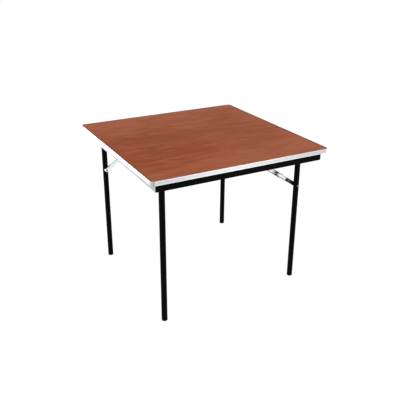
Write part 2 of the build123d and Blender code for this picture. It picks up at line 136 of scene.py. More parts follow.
class Link:
    """An output socket that stands in Python sums. Each operator adds its Math node."""

    def __init__(self, shader: "Shader", socket: bpy.types.NodeSocket) -> None:
        """Wrap a socket.

        Args:
            shader: The tree that the socket belongs to.
            socket: The output socket.
        """
        self.shader = shader
        self.socket = socket

    def other(self, name: str) -> "Link":
        """Another output of the same node."""
        return Link(self.shader, self.socket.node.outputs[name])

    def math(self, operation: str, *values: Number) -> "Link":
        """The Math node of an operation on values in their order."""
        return self.shader.node("ShaderNodeMath", {"operation": operation}, dict(enumerate(values)))

    def __add__(self, other: Number) -> "Link":
        """The sum."""
        return self.math("ADD", self, other)

    def __radd__(self, other: float) -> "Link":
        """The sum, with the number first."""
        return self.math("ADD", other, self)

    def __sub__(self, other: Number) -> "Link":
        """The difference."""
        return self.math("SUBTRACT", self, other)

    def __rsub__(self, other: float) -> "Link":
        """The difference, with the number first."""
        return self.math("SUBTRACT", other, self)

    def __mul__(self, other: Number) -> "Link":
        """The product."""
        return self.math("MULTIPLY", self, other)

    def __rmul__(self, other: float) -> "Link":
        """The product, with the number first."""
        return self.math("MULTIPLY", other, self)

    def __truediv__(self, other: Number) -> "Link":
        """The quotient."""
        return self.math("DIVIDE", self, other)

    def __rtruediv__(self, other: float) -> "Link":
        """The quotient, with the number first."""
        return self.math("DIVIDE", other, self)

    def __abs__(self) -> "Link":
        """The size without its sign."""
        return self.math("ABSOLUTE", self)

    def least(self, other: Number) -> "Link":
        """The smaller of two values."""
        return self.math("MINIMUM", self, other)

    def most(self, other: Number) -> "Link":
        """The larger of two values."""
        return self.math("MAXIMUM", self, other)

    def rise(self, start: float, full: float, share: float = 1.0) -> "Link":
        """A smooth step.

        Args:
            start: The value where the step leaves 0.
            full: The value where it is full, which may be below the start.
            share: What it gives where it is full.

        Returns:
            The step, from 0 to the share.
        """
        ends = (start, full, 0.0, share) if full > start else (full, start, share, 0.0)
        inputs = dict(zip(("From Min", "From Max", "To Min", "To Max"), ends), Value=self)
        return self.shader.node("ShaderNodeMapRange", {"interpolation_type": "SMOOTHSTEP"}, inputs)

    def between(self, low: float, high: float) -> "Link":
        """The value that lies this share of the way from low to high."""
        return self * (high - low) + low


class Shader:
    """The node tree of a material or of the world."""

    def __init__(self, owner: Union[bpy.types.Material, bpy.types.World]) -> None:
        """Open the owner's tree, which holds its default surface and output nodes.

        Args:
            owner: A material or a world.
        """
        owner.use_nodes = True
        self.tree = owner.node_tree

    def feed(self, node: bpy.types.Node, inputs: Mapping[Union[str, int], object]) -> None:
        """Set or link the inputs of a node.

        Args:
            node: The node.
            inputs: A value or a link for each input's name or number.
        """
        for key, value in inputs.items():
            if isinstance(value, Link):
                self.tree.links.new(value.socket, node.inputs[key])
            else:
                node.inputs[key].default_value = value

    def node(
        self,
        kind: str,
        settings: Optional[Mapping[str, object]] = None,
        inputs: Optional[Mapping[Union[str, int], object]] = None,
        output: Union[str, int] = 0,
    ) -> Link:
        """Add a node.

        Args:
            kind: The node's type.
            settings: Its properties, set first. "stops" sets a ramp's places and colours.
            inputs: A value or a link for each input.
            output: The output to hand back.

        Returns:
            The output as a link.
        """
        made = self.tree.nodes.new(kind)
        for name, value in (settings or {}).items():
            if name == "stops":
                self._set_stops(made.color_ramp, value)
            else:
                setattr(made, name, value)
        self.feed(made, inputs or {})
        return Link(self, made.outputs[output])

    @staticmethod
    def _set_stops(ramp: bpy.types.ColorRamp, stops: Sequence[tuple[float, Colour]]) -> None:
        """Give a ramp its stops.

        Args:
            ramp: The ramp, with its two default stops.
            stops: Places and colours in rising order.
        """
        while len(ramp.elements) < len(stops):
            ramp.elements.new(1.0)
        for element, (place, colour) in zip(ramp.elements, stops):
            element.position = place
            element.color = colour

    def place(self) -> Link:
        """The surface point in the piece's own coordinates."""
        return self.node("ShaderNodeTexCoord", output="Object")

    def axes(self) -> tuple[Link, Link, Link]:
        """The three coordinates of the surface point."""
        along = self.node("ShaderNodeSeparateXYZ", None, {0: self.place()})
        return along, along.other("Y"), along.other("Z")

    def noise(self, pattern: Pattern, point: Optional[Link] = None) -> Link:
        """Soft noise.

        Args:
            pattern: The noise.
            point: Where it is read, if not at the surface point.

        Returns:
            The noise, about 0.5 in the middle.
        """
        stretched = {0: point or self.place(), 1: pattern.stretch, 2: (pattern.shift,) * 3}
        where = self.node("ShaderNodeVectorMath", {"operation": "MULTIPLY_ADD"}, stretched)
        inputs = {"Vector": where, "Scale": 1.0, "Detail": pattern.detail}
        return self.node("ShaderNodeTexNoise", None, inputs)

    def shown(self, pattern: Pattern, point: Optional[Link] = None) -> Link:
        """How much of a pattern shows at the surface point or another."""
        return self.noise(pattern, point).rise(*pattern.step)

    def mix(self, share: Number, first: object, second: object) -> Link:
        """Mix two colours.

        Args:
            share: How much of the second shows, from 0 to 1.
            first: A colour or a link.
            second: A colour or a link.

        Returns:
            The mixed colour.
        """
        factor, colour_a, colour_b, colour_out = 0, 6, 7, 2
        inputs = {factor: share, colour_a: first, colour_b: second}
        return self.node("ShaderNodeMix", {"data_type": "RGBA"}, inputs, colour_out)

    def sight(self) -> tuple[Link, Link]:
        """Whether a ray is the camera's own, and whether it is that or has met gloss or glass."""
        straight = self.node("ShaderNodeLightPath", output="Is Camera Ray")
        seen = straight.most(straight.other("Is Glossy Ray"))
        return straight, seen.most(straight.other("Is Transmission Ray"))

    def surface(self, inputs: Mapping[str, object]) -> None:
        """Set or link the inputs of the material's principled surface."""
        self.feed(self.tree.nodes["Principled BSDF"], inputs)


@dataclass(frozen=True)
class Finish:
    """A finish of the table. Each kind builds its own shader.

    Attributes:
        slot: The record's slot that it stands for.
        label: Its name.
        specular: The level of its reflections, where it isn't metal.
        relief: The real depth of its bumps, and how strongly they show.
    """

    slot: Slot
    label: str
    specular: float = 0.5
    relief: Pair = (0.00002, 0.4)

    @property
    def name(self) -> str:
        """The name of the finish's material."""
        return f"{self.label}_finish"

    def coat(self, shader: Shader, colour: Link, roughness: Link, bumps: Link, metal: Number = 0.0) -> None:
        """Set the material's surface.

        Args:
            shader: The material's tree.
            colour: The colour.
            roughness: The roughness.
            bumps: The height of the bumps, from 0 to 1.
            metal: How much of the surface is bare metal.
        """
        depth, strength = self.relief
        bumped = {"Height": bumps, "Distance": depth, "Strength": strength}
        shader.surface(
            {
                "Base Color": colour,
                "Roughness": roughness,
                "Metallic": metal,
                "Specular IOR Level": self.specular,
                "Normal": shader.node("ShaderNodeBump", None, bumped),
            }
        )

    def build(self, shader: Shader) -> None:
        """Build the finish's shader in its material's tree."""
        raise NotImplementedError

    def material(self) -> bpy.types.Material:
        """The finish's material, made when it is first asked for."""
        found = bpy.data.materials.get(self.name)
        if found:
            return found
        made = bpy.data.materials.new(self.name)
        self.build(Shader(made))
        return made


@dataclass(frozen=True)
class StainedPlywood(Finish):
    """Satin red-brown stained veneer with its grain along X, over a plain sealed underside."""

    specular: float = 0.02
    relief: Pair = (0.00003, 0.6)
    line_depth: float = 0.7
    pore_depth: float = 0.3
    roughness: Pair = (0.40, 0.50)
    under_roughness: float = 0.15
    half_width: float = 0.45555
    face_height: float = 0.7355
    face_depth: float = 0.001
    sway: float = 0.09
    wave: Pattern = Pattern((2.4, 3.0, 0.0), 1.0, 5.5)
    blotches: Pattern = Pattern((4.2, 7.5, 0.0), 2.0, 3.1)
    streaks: Pattern = Pattern((7.0, 30.0, 0.0), 3.0, 7.4)
    flecks: Pattern = Pattern((13.0, 95.0, 0.0), 2.0, 9.2)
    lines: Pattern = Pattern((9.0, 330.0, 0.0), 3.0, 1.7, (0.44, 0.66, 0.34))
    pores: Pattern = Pattern((70.0, 1300.0, 0.0), 1.0, 5.2, (0.62, 0.70, 0.45))
    redness: Pattern = Pattern((3.2, 9.0, 0.0), 2.0, 11.0, (0.48, 0.72, 0.4))
    blotch_share: float = 0.5
    streak_share: float = 0.8
    fleck_share: float = 0.3
    fleck_gain: Step = (0.5, -0.6, 0.6)
    tone: float = -0.15
    # Painted light and shade: edge_light and right_light are painted highlights, patch_shade and
    # corner_shade are painted shade
    edge_light: Step = (0.3, 1.0, 0.20)
    right_light: Step = (0.2, 1.0, 0.11)
    patch: Point = (-0.32, -0.10)
    patch_tightness: Pair = (5.0, 7.0)
    patch_shade: Step = (1.0, 0.0, 0.14)
    corner_along: Step = (0.3, 1.0, 1.0)
    corner_shade: Step = (-0.2, 1.0, 0.22)
    rim: float = 0.009
    rim_stain_and_shade_share: float = 0.6
    rim_stain_and_shade_gain: Step = (-1.0, 0.0, 0.4)
    stain_places: tuple[float, ...] = (0.25, 0.5, 0.75)
    stains: tuple[Colour, ...] = (paint(143, 68, 30), paint(158, 82, 47), paint(171, 98, 66))
    red: Colour = paint(170, 84, 60)
    pooled: Colour = paint(84, 44, 28)
    under_tone: float = -0.1
    under_line_share: float = 0.4
    under_dark: Colour = paint(150, 118, 84)
    under_light: Colour = paint(186, 154, 116)

    def painted_shading(self, x: Link, y: Link) -> Link:
        """Painted light and shade over the stain: painted highlights along the edges and the right side, a
        painted shade patch at the left and painted shade over the far right corner.

        Args:
            x: The place from left to right.
            y: The place from front to back.

        Returns:
            What is added to the figure.
        """
        across, along = x / self.half_width, y / self.half_width
        lit = abs(along).rise(*self.edge_light) + across.rise(*self.right_light)
        aside, behind = x - self.patch[0], y - self.patch[1]
        tight_x, tight_y = self.patch_tightness
        patch = (aside * aside * tight_x + behind * behind * tight_y).rise(*self.patch_shade)
        corner = across.rise(*self.corner_shade) * along.rise(*self.corner_along)
        return lit - patch - corner + self.tone

    def build(self, shader: Shader) -> None:
        """Build the stained face, its grain and the underside.

        Args:
            shader: The material's tree.
        """
        x, y, z = shader.axes()
        across = x / self.half_width
        swayed = (shader.noise(self.wave) - NOISE_MIDDLE) * self.sway + y
        grain = shader.node("ShaderNodeCombineXYZ", None, {"X": x, "Y": swayed, "Z": z})
        streaks = shader.noise(self.streaks, grain)
        lines = shader.noise(self.lines, grain)
        pores = shader.noise(self.pores, grain)
        fleck_gain = across.rise(*self.fleck_gain) + self.fleck_share
        flecks = (shader.noise(self.flecks, grain) - NOISE_MIDDLE) * fleck_gain
        figure = shader.noise(self.blotches) * self.blotch_share + streaks * self.streak_share + flecks
        stops = {"stops": tuple(zip(self.stain_places, self.stains))}
        stain = shader.node("ShaderNodeValToRGB", stops, {"Fac": figure + self.painted_shading(x, y)})
        stain = shader.mix(shader.shown(self.redness, grain), stain, self.red)
        stain = shader.mix(lines.rise(*self.lines.step), stain, self.stains[0])
        stain = shader.mix(pores.rise(*self.pores.step), stain, self.pooled)
        # The dark rim is pooled stain plus a painted shade line where the moulding lip meets the panel,
        # left, right and back, stronger at the left
        rim = (self.half_width - abs(x).most(y)).rise(self.rim, self.rim / 3)
        stain = shader.mix(rim * (across.rise(*self.rim_stain_and_shade_gain) + self.rim_stain_and_shade_share), stain, self.pooled)
        under = streaks * self.streak_share + lines * self.under_line_share + self.under_tone
        above = z.rise(self.face_height - self.face_depth, self.face_height)
        colour = shader.mix(above, shader.mix(under, self.under_light, self.under_dark), stain)
        roughness = streaks.between(*self.roughness) + (1.0 - above) * self.under_roughness
        self.coat(shader, colour, roughness, lines * self.line_depth + pores * self.pore_depth)


@dataclass(frozen=True)
class Aluminium(Finish):
    """Mill-finished aluminium, rolled level with the floor. Each kind colours its own sheet."""

    specular: float = 0.1
    relief: Pair = (0.00002, 0.5)
    clean: Colour = (0.55, 0.557, 0.565, 1.0)
    dull: Colour = (0.40, 0.405, 0.415, 1.0)
    roughness: float = 0.33
    unevenness: float = 0.10
    rolling: Pattern = Pattern((3.0, 3.0, 2600.0), 3.0)

    def sheet(
        self, shader: Shader, colour: Link, clouds: Link, bare: Number = 1.0, duller: Number = 0.0
    ) -> None:
        """Set the rolled surface.

        Args:
            shader: The material's tree.
            colour: The colour.
            clouds: The clouds, which also dull the gloss.
            bare: How much of the metal shows.
            duller: What is added to the roughness.
        """
        lines = shader.noise(self.rolling)
        roughness = (lines + clouds - 2 * NOISE_MIDDLE) * self.unevenness + duller + self.roughness
        self.coat(shader, colour, roughness, lines, bare)


@dataclass(frozen=True)
class EdgeAluminium(Aluminium):
    """The edge moulding: painted shade where a length is bent, a painted highlight along its lips and where
    the next length butts, stained on top.
    """

    clouding: Pattern = Pattern((9.0, 9.0, 30.0), 3.0, 4.0, (0.5, 0.9, 1.0))
    wear_and_shade_share: float = 0.25
    bend_roughness: float = 0.08
    painted_highlight: Colour = (0.72, 0.73, 0.74, 1.0)
    corner: float = 0.4382
    bend: float = 0.006
    middle_height: float = 0.7261
    flat: float = 0.0055
    lip: float = 0.0085
    joint: Point = (-0.4458, -0.4556)
    joint_reach: float = 0.0022
    joint_slope: float = 0.439
    joint_width: float = 0.0005
    joint_share: float = 0.75
    grime_and_shade: Colour = paint(70, 68, 66)
    top: float = 0.7366
    run_down: float = 0.0004
    stain: Colour = paint(140, 44, 24)

    def joint_grime(self, shader: Shader, x: Link, y: Link) -> Link:
        """The grime round the joints of the four lengths.

        Args:
            shader: The material's tree.
            x: The place from left to right.
            y: The place from front to back.

        Returns:
            How much grime shows.
        """
        level = shader.node("ShaderNodeCombineXYZ", None, {"X": x, "Y": y})
        away = []
        for quarter in range(4):
            joint = Matrix.Rotation(math.radians(90 * quarter), 2) @ Vector(self.joint)
            ends = {0: level, 1: (*joint, 0.0)}
            away.append(shader.node("ShaderNodeVectorMath", {"operation": "DISTANCE"}, ends, "Value"))
        nearest = reduce(Link.least, away)
        return nearest.rise(self.joint_reach, self.joint_reach / 3, self.joint_share)

    def butted(self, x: Link, y: Link) -> Link:
        """The part of a bend that belongs to the length that butts against the bent one.

        Args:
            x: The place from left to right.
            y: The place from front to back.

        Returns:
            1 beyond the joint, and 0 before it.
        """
        like_near = (x * y).rise(-self.bend, self.bend)
        side = abs(x) * like_near + abs(y) * (1.0 - like_near)
        end = abs(x) + abs(y) - side
        return ((end - self.corner) * self.joint_slope - (side - self.corner)).rise(0.0, self.joint_width)

    def build(self, shader: Shader) -> None:
        """Build the moulding with its corners and joints.

        Args:
            shader: The material's tree.
        """
        clouds = shader.noise(self.clouding)
        x, y, z = shader.axes()
        bent = abs(x).least(abs(y)).rise(self.corner - self.bend, self.corner + self.bend)
        butted = self.butted(x, y) * bent
        # Painted shade: each bend, except its butted end, is mixed towards the dull colour; the clouds are a
        # real duller tone
        worn = clouds.rise(*self.clouding.step).most(bent - butted) * self.wear_and_shade_share
        # Painted highlight: the top and bottom lips and the butted end of each bend take the brighter colour
        rubbed_and_painted_light = (abs(z - self.middle_height).rise(self.flat, self.lip) * (1.0 - bent)).most(butted)
        colour = shader.mix(rubbed_and_painted_light, shader.mix(worn, self.clean, self.dull), self.painted_highlight)
        stained = z.rise(self.top - self.run_down, self.top - self.run_down / 2)
        colour = shader.mix(stained, colour, self.stain)
        colour = shader.mix(self.joint_grime(shader, x, y), colour, self.grime_and_shade)
        self.sheet(shader, colour, clouds, 1.0 - stained, bent * self.bend_roughness)


@dataclass(frozen=True)
class RailAluminium(Aluminium):
    """The end rails: a duller sheet, darkened towards the back by painted shade, with a dark line along the
    cut lower edge.
    """

    clean: Colour = (0.31, 0.314, 0.318, 1.0)
    dull: Colour = (0.25, 0.253, 0.257, 1.0)
    roughness: float = 0.45
    clouding: Pattern = Pattern((9.0, 9.0, 30.0), 3.0, 4.0, (0.40, 0.75, 0.5))
    back: Step = (-0.32, 0.05, 0.75)
    bottom: float = 0.6781
    cut: Step = (0.0030, 0.0, 0.8)
    cut_colour: Colour = (0.35, 0.35, 0.36, 1.0)

    def build(self, shader: Shader) -> None:
        """Build the sheet and its cut edge.

        Args:
            shader: The material's tree.
        """
        clouds = shader.noise(self.clouding)
        _, y, z = shader.axes()
        # Painted shade: the sheet is mixed towards the dull colour towards the back; the clouds are a real
        # duller tone
        worn = clouds.rise(*self.clouding.step).most(y.rise(*self.back))
        colour = shader.mix(worn, self.clean, self.dull)
        colour = shader.mix((z - self.bottom).rise(*self.cut), colour, self.cut_colour)
        self.sheet(shader, colour, clouds)


@dataclass(frozen=True)
class BlackEnamel(Finish):
    """Baked black enamel on steel, with a fine orange peel and a few dusty scuffs."""

    black: Colour = (0.0015, 0.0015, 0.0016, 1.0)
    scuff: Colour = (0.006, 0.006, 0.007, 1.0)
    specular: float = 0.03
    relief: Pair = (0.00004, 0.35)
    roughness: Pair = (0.32, 0.48)
    peel: Pattern = Pattern((900.0, 900.0, 900.0), 2.0)
    dust: Pattern = Pattern((24.0, 24.0, 9.0), 4.0, 2.0, (0.55, 0.85, 0.5))
    scratches: Pattern = Pattern((260.0, 260.0, 14.0), 2.0, 8.0, (0.70, 0.78, 0.35))

    def build(self, shader: Shader) -> None:
        """Build the enamel.

        Args:
            shader: The material's tree.
        """
        dust = shader.noise(self.dust)
        worn = dust.rise(*self.dust.step) + shader.shown(self.scratches)
        colour = shader.mix(worn, self.black, self.scuff)
        self.coat(shader, colour, dust.between(*self.roughness), shader.noise(self.peel))


@dataclass(frozen=True)
class ZincPlate(Finish):
    """Bright zinc plating, lightly clouded, a little duller in patches."""

    bright: Colour = (0.80, 0.81, 0.83, 1.0)
    clouded: Colour = (0.58, 0.59, 0.60, 1.0)
    tint: Colour = (0.80, 0.79, 0.70, 1.0)
    roughness: Pair = (0.24, 0.46)
    clouding: Pattern = Pattern((70.0, 70.0, 70.0), 3.0, 0.0, (0.42, 0.75, 0.5))
    tinting: Pattern = Pattern((28.0, 28.0, 28.0), 1.0, 6.0, (0.5, 0.8, 0.35))
    grain: Pattern = Pattern((1500.0, 1500.0, 1500.0), 1.0, 3.0)

    def plating(self, shader: Shader) -> tuple[Link, Link]:
        """The colour of the plating.

        Args:
            shader: The material's tree.

        Returns:
            The clouded and tinted colour, and the clouds.
        """
        clouds = shader.noise(self.clouding)
        colour = shader.mix(clouds.rise(*self.clouding.step), self.bright, self.clouded)
        return shader.mix(shader.shown(self.tinting), colour, self.tint), clouds

    def plate(self, shader: Shader, colour: Link, clouds: Link) -> None:
        """Set the plated surface in a colour, dulled by the clouds."""
        self.coat(shader, colour, clouds.between(*self.roughness), shader.noise(self.grain), 1.0)

    def build(self, shader: Shader) -> None:
        """Build the plain plating."""
        self.plate(shader, *self.plating(shader))


@dataclass(frozen=True)
class LinkZinc(ZincPlate):
    """Zinc plating on a brace's link, with painted shade inside its flanges, a painted shadow above its cup,
    and a dark rim with painted shade along its lower side.

    Places along the link are measured from its bolt, places across it from its middle line. A link without
    a cup has a cup of 0.
    """

    bolt: Point = (0.381, 0.5171)
    slope: float = math.radians(34.471)
    knee: float = 0.11694
    half_height: float = 0.0095
    wall: float = 0.0018
    floor: float = 0.3048
    rim: float = 0.3130
    fade: float = 0.0002
    # The dark colour below is painted shade inside the flanges, above the cup and along the lower side of
    # the rim
    flange_corner_shade: float = 0.0022
    upper_shade_share: float = 0.45
    cup: float = 0.0
    cup_shadow: Pair = (0.0032, 0.0020)
    cup_slant: float = 0.5
    cup_above: Pair = (0.001, 0.004)
    cup_splash: float = 0.0040
    painted_shade_share: float = 0.9
    grime_and_shade: Colour = (0.020, 0.019, 0.019, 1.0)
    cut_depth: float = 0.0003
    cut_share: float = 0.8
    cut_shade: float = 0.004
    cut_colour: Colour = (0.22, 0.22, 0.23, 1.0)

    def corners(self, across: Link) -> Link:
        """Painted shade inside the two flanges.

        Args:
            across: The place across the link.

        Returns:
            How much painted shade shows.
        """
        inner, fade = self.half_height - self.wall, self.fade
        lower = across.rise(self.flange_corner_shade - inner, self.flange_corner_shade / 2 - inner)
        lower = lower * across.rise(fade - self.half_height, 3 * fade - self.half_height)
        upper = across.rise(inner - 2 * fade, inner, self.upper_shade_share)
        return lower.most(upper * across.rise(self.half_height, inner + 3 * fade))

    def cup_ring(self, along: Link, across: Link, depth: Link) -> Link:
        """A painted shadow round the upper side of the cup.

        Args:
            along: The place along the link, from the knee.
            across: The place across the link.
            depth: The distance from the table's middle, from front to back.

        Returns:
            How much painted shadow shows.
        """
        level = along * along + across * across
        reach, full = (self.cup + grime_and_shade for grime_and_shade in self.cup_shadow)
        ring = level.rise(reach ** 2, full ** 2)
        ring = ring * level.rise((self.cup - 3 * self.fade) ** 2, (self.cup - self.fade / 2) ** 2)
        above = (across + along * self.cup_slant).rise(*self.cup_above)
        return ring * above * depth.rise(self.floor + self.cup_splash, self.floor + self.cup_splash / 2)

    def build(self, shader: Shader) -> None:
        """Build the plating and its painted shade, the same on the braces of both halves.

        Args:
            shader: The material's tree.
        """
        x, y, z = shader.axes()
        depth = abs(y)
        forth = abs(x) - self.bolt[0]
        rise = z - self.bolt[1]
        along = rise * math.sin(self.slope) - forth * math.cos(self.slope)
        across = rise * math.cos(self.slope) + forth * math.sin(self.slope)
        grime_and_shade = self.corners(across)
        if self.cup:
            grime_and_shade = grime_and_shade.most(self.cup_ring(along - self.knee, across, depth))
        grime_and_shade = grime_and_shade * depth.rise(self.floor - 3 * self.fade, self.floor - self.fade)
        colour, clouds = self.plating(shader)
        cut = depth.rise(self.rim - self.cut_depth, self.rim - self.cut_depth / 3)
        colour = shader.mix(cut * self.cut_share, colour, self.cut_colour)
        # Painted shade along the lower side of the cut rim
        grime_and_shade = grime_and_shade.most(cut * across.rise(0.0, -self.cut_shade))
        self.plate(shader, shader.mix(grime_and_shade * self.painted_shade_share, colour, self.grime_and_shade), clouds)


@dataclass(frozen=True)
class Moulded(Finish):
    """Moulded nylon or rubber, with a fine eroded texture and a rubbed bloom."""

    colour: Colour = (0.012, 0.012, 0.013, 1.0)
    bloom: Colour = (0.040, 0.040, 0.042, 1.0)
    specular: float = 0.08
    relief: Pair = (0.00005, 0.5)
    roughness: Pair = (0.50, 0.65)
    texture: Pattern = Pattern((700.0, 700.0, 700.0), 2.0)
    rubbing: Pattern = Pattern((55.0, 55.0, 22.0), 3.0, 9.0, (0.5, 0.8, 0.6))

    def rubbed_and_painted_light(self, shader: Shader) -> Link:
        """How much of the bloom shows."""
        return shader.shown(self.rubbing)

    def build(self, shader: Shader) -> None:
        """Build the moulded surface.

        Args:
            shader: The material's tree.
        """
        rubbed_and_painted_light = self.rubbed_and_painted_light(shader)
        colour = shader.mix(rubbed_and_painted_light, self.colour, self.bloom)
        self.coat(shader, colour, rubbed_and_painted_light.between(*self.roughness), shader.noise(self.texture))


@dataclass(frozen=True)
class SpacerNylon(Moulded):
    """The brace's spacer: a grey bloom where it stands clear of the leg, and painted shade that keeps it
    black beside the leg.
    """

    bloom: Colour = (0.085, 0.082, 0.092, 1.0)
    rubbing: Pattern = Pattern((120.0, 120.0, 120.0), 2.0, 4.0, (0.30, 0.62, 0.6))
    least: float = 0.4
    bolt_x: float = 0.381
    shaded: float = 0.022
    clear: float = 0.030

    def rubbed_and_painted_light(self, shader: Shader) -> Link:
        """How much of the bloom shows, with painted shade that takes it away beside the leg."""
        x, _, _ = shader.axes()
        return (self.bolt_x - abs(x)).rise(self.shaded, self.clear) * (super().rubbed_and_painted_light(shader) + self.least)


PLYWOOD = StainedPlywood(Slot.STAINED_PLYWOOD, "stained_veneer")
EDGE = EdgeAluminium(Slot.EDGE_ALUMINIUM, "edge_mill")
RAIL = RailAluminium(Slot.RAIL_ALUMINIUM, "rail_mill")
ENAMEL = BlackEnamel(Slot.BLACK_STEEL, "black_enamel")
ZINC = ZincPlate(Slot.ZINC_STEEL, "zinc_plate")
DARK_ZINC = ZincPlate(
    Slot.ZINC_STEEL,
    "dark_zinc",
    bright=(0.20, 0.20, 0.21, 1.0),
    clouded=(0.11, 0.11, 0.11, 1.0),
    tint=(0.17, 0.16, 0.13, 1.0),
)
LOWER_LINK_ZINC = LinkZinc(Slot.ZINC_STEEL, "lower_link_zinc")
UPPER_LINK_ZINC = LinkZinc(
    Slot.ZINC_STEEL, "upper_link_zinc", half_height=0.0116, floor=0.2898, rim=0.2990, cup=0.0090
)
SPACER_NYLON = SpacerNylon(Slot.BLACK_NYLON, "spacer_nylon")
WASHER_NYLON = Moulded(
    Slot.BLACK_NYLON, "washer_nylon", colour=(0.14, 0.14, 0.145, 1.0), bloom=(0.42, 0.42, 0.43, 1.0)
)
LINER_NYLON = Moulded(
    Slot.PALE_NYLON,
    "liner_nylon",
    colour=(0.62, 0.60, 0.55, 1.0),
    bloom=(0.48, 0.46, 0.42, 1.0),
    roughness=(0.40, 0.55),
)
RUBBER = Moulded(
    Slot.BLACK_RUBBER,
    "foot_rubber",
    colour=(0.006, 0.006, 0.006, 1.0),
    bloom=(0.02, 0.02, 0.02, 1.0),
    roughness=(0.70, 0.85),
    texture=Pattern((420.0, 420.0, 420.0), 2.0),
)


def dress(finish: Finish, *nodes: str) -> None:
    """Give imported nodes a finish.

    Args:
        finish: The finish.
        nodes: The nodes' names.
    """
    for name in nodes:
        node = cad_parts[name]
        if node.material_slots:
            node.material_slots[0].material = finish.material()
        else:
            node.data.materials.append(finish.material())
        log.info("dressed %s in %s", name, finish.name)


def stand(name: str, data: bpy.types.ID) -> bpy.types.Object:
    """Add a mesh, a lamp or a camera to the scene.

    Args:
        name: The object's name.
        data: The mesh, lamp or camera.

    Returns:
        The object.
    """
    made = bpy.data.objects.new(name, data)
    bpy.context.scene.collection.objects.link(made)
    return made


def solid(name: str, mesh: bmesh.types.BMesh, material: bpy.types.Material) -> bpy.types.Object:
    """Add a bmesh to the scene.

    Args:
        name: The object's name.
        mesh: The finished bmesh, which is freed.
        material: Its material.

    Returns:
        The object.
    """
    data = bpy.data.meshes.new(name)
    mesh.to_mesh(data)
    mesh.free()
    data.materials.append(material)
    return stand(name, data)


@dataclass
class Piece:
    """A shown piece, built as a bmesh in its place on the right half of the table."""

    name: str
    body: str
    finish: Finish
    replaced: tuple[str, ...] = ()
    crease_angle: float = math.radians(38)

    def show(self, mesh: bmesh.types.BMesh, turn: float = 0.0) -> None:
        """Close the mesh, turn it into place and put it on its body.

        Args:
            mesh: The finished bmesh, which is freed.
            turn: A turn about the upright axis through the middle of the table.
        """
        bmesh.ops.remove_doubles(mesh, verts=mesh.verts, dist=WELD_DISTANCE)
        bmesh.ops.rotate(mesh, cent=(0, 0, 0), matrix=Matrix.Rotation(turn, 3, "Z"), verts=mesh.verts)
        bmesh.ops.recalc_face_normals(mesh, faces=mesh.faces)
        for face in mesh.faces:
            face.smooth = True
        for edge in mesh.edges:
            edge.smooth = edge.calc_face_angle(0.0) < self.crease_angle
        shown = solid(self.name, mesh, self.finish.material())
        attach(shown, self.body)
        if self.replaced:
            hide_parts(*self.replaced)
        log.info("built %s on %s", self.name, self.body)


def arc(centre: Point, radius: float, start: float, end: float, steps: int) -> list[Point]:
    """Points along an arc of a lathe profile.

    Args:
        centre: The arc's centre, as a distance from the axis and a place along it.
        radius: The arc's radius.
        start: The first angle in degrees, from the outward direction.
        end: The last angle in degrees.
        steps: The number of steps.

    Returns:
        Points from start to end.
    """
    angles = [math.radians(start + (end - start) * step / steps) for step in range(steps + 1)]
    return [(centre[0] + radius * math.cos(a), centre[1] + radius * math.sin(a)) for a in angles]


def lathe(profile: Sequence[Point], foot: Vector, axis: Vector, steps: int) -> bmesh.types.BMesh:
    """Turn a profile round an axis.

    Args:
        profile: Distances from the axis and places along it, which start and end on the axis or meet.
        foot: The point where places along the axis start.
        axis: The axis's direction.
        steps: The number of steps round.

    Returns:
        A new bmesh with the turned shape.
    """
    mesh = bmesh.new()
    outward = axis.orthogonal().normalized()
    line = [mesh.verts.new(foot + outward * radius + axis * place) for radius, place in profile]
    edges = [mesh.edges.new(pair) for pair in zip(line, line[1:])]
    bmesh.ops.spin(
        mesh, geom=line + edges, cent=foot, axis=axis, angle=FULL_TURN, steps=steps, use_merge=True
    )
    return mesh


def underside(low: Vector, high: Vector) -> Vector:
    """The middle of the lowest face of a box between two corners."""
    return Vector((*((low + high) / 2).xy, low.z))


@dataclass
class TableTop:
    """The panel with its edge moulding, aprons and end rails."""

    sides: tuple[str, ...] = ("left", "front", "right", "back")

    def build(self) -> None:
        """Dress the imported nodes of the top."""
        dress(PLYWOOD, "plywood_top")
        dress(EDGE, *(f"edge_moulding_{side}" for side in self.sides))
        dress(ENAMEL, "apron_front", "apron_back")
        dress(RAIL, "end_rail_left", "end_rail_right")


